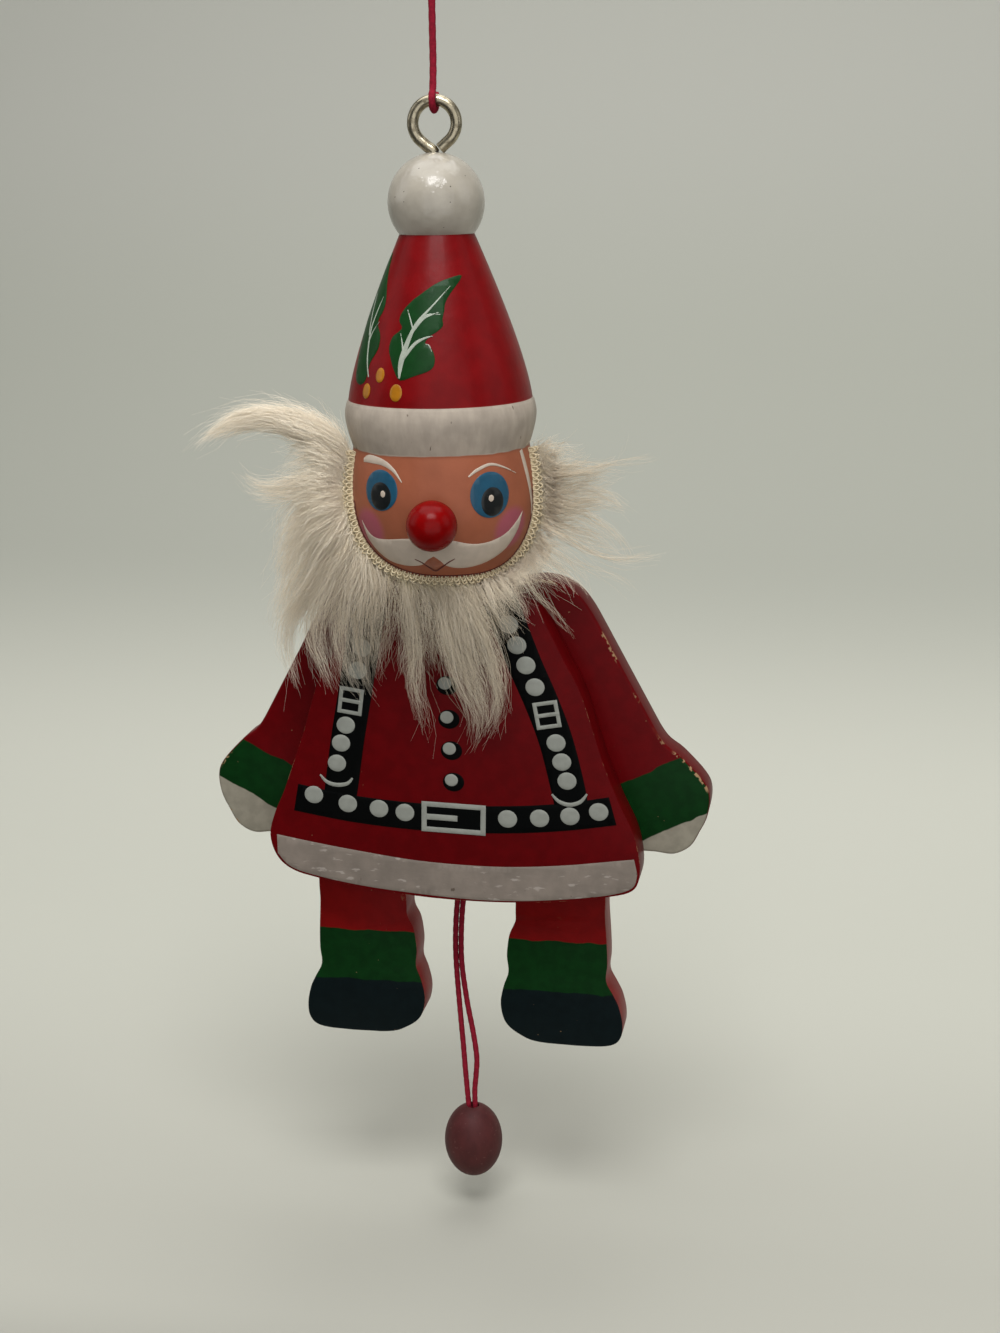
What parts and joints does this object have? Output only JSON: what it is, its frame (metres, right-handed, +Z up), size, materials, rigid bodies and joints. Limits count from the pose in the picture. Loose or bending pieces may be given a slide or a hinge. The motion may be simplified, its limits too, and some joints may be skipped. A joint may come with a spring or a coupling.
{
  "type": "pull string jumping jack",
  "caption": "Flat painted wooden figure with a turned head and a fur beard; pulling the string swings its arms and legs outwards.",
  "frame": {"origin": "middle of the hanging eye's ring", "axes": "+Z up along the figure, front faces -Y, +X to the viewer's right seen from the front"},
  "size_m": [0.1106, 0.0488, 0.271],
  "materials": {
    "nickel_wire": "dull nickel plate",
    "white_enamel": "gloss enamel on turned beech",
    "head_enamel": "gloss red, white and flesh enamel on turned beech",
    "nose_enamel": "gloss red enamel on a beech bead",
    "bare_beech": "bare beech dowel",
    "coat_enamel": "gloss red enamel with painted belt, braces and white hem on plywood",
    "arm_enamel": "gloss red, green and white enamel on plywood",
    "leg_enamel": "gloss red, green and black enamel on plywood",
    "screw_steel": "zinc-plated steel",
    "washer_steel": "zinc-plated steel",
    "tack_brass": "dull brass",
    "knit_backing": "knitted cotton",
    "pile_fur": "long wispy pile",
    "crimson_cord": "twisted two-ply cord",
    "bead_lacquer": "matt maroon stain on turned beech"
  },
  "bodies": {
    "figure": {"screw_eye": "nickel_wire", "pompom_ball": "white_enamel", "head": "head_enamel", "nose": "nose_enamel", "neck_dowel": "bare_beech", "coat_plate": "coat_enamel", "left_shoulder_screw": "screw_steel", "right_shoulder_screw": "screw_steel", "left_hip_screw": "screw_steel", "right_hip_screw": "screw_steel", "shoulder_washers": "washer_steel", "hip_washers": "washer_steel", "beard_strip": "knit_backing", "beard_fur": "pile_fur", "hanging_cord": "crimson_cord", "hanging_knot": "crimson_cord"},
    "left_arm": {"left_arm": "arm_enamel", "left_arm_tack": "tack_brass"},
    "right_arm": {"right_arm": "arm_enamel", "right_arm_tack": "tack_brass"},
    "left_leg": {"left_leg": "leg_enamel", "left_leg_tack": "tack_brass"},
    "right_leg": {"right_leg": "leg_enamel", "right_leg_tack": "tack_brass"},
    "pull_string": {"arm_cord": "crimson_cord", "leg_cord": "crimson_cord", "link_cord": "crimson_cord", "arm_knot": "crimson_cord", "leg_knot": "crimson_cord", "pull_cord_left": "crimson_cord", "pull_cord_right": "crimson_cord", "pull_bead": "bead_lacquer", "bead_knot": "crimson_cord"}
  },
  "joints": [
    {"name": "left_arm_swing", "type": "hinge", "parent": "figure", "child": "left_arm", "pos_m": [-0.015, 0.0084, -0.10349], "axis": [0, 1, 0], "range_deg": [0, 70]},
    {"name": "right_arm_swing", "type": "hinge", "parent": "figure", "child": "right_arm", "pos_m": [0.017, 0.0084, -0.10349], "axis": [0, -1, 0], "range_deg": [0, 70]},
    {"name": "left_leg_swing", "type": "hinge", "parent": "figure", "child": "left_leg", "pos_m": [-0.0217, 0.0084, -0.14799], "axis": [0, 1, 0], "range_deg": [0, 50]},
    {"name": "right_leg_swing", "type": "hinge", "parent": "figure", "child": "right_leg", "pos_m": [0.0237, 0.0084, -0.14799], "axis": [0, -1, 0], "range_deg": [0, 50]},
    {"name": "string_pull", "type": "slide", "parent": "figure", "child": "pull_string", "axis": [0, 0, -1], "range_m": [0, 0.00804]}
  ],
  "couplings": [
    {"joint": "right_arm_swing", "follows": "left_arm_swing", "ratio": 1},
    {"joint": "left_leg_swing", "follows": "left_arm_swing", "ratio": 0.71428},
    {"joint": "right_leg_swing", "follows": "left_arm_swing", "ratio": 0.71428},
    {"joint": "string_pull", "follows": "left_arm_swing", "m_per_rad": 0.0065727}
  ]
}
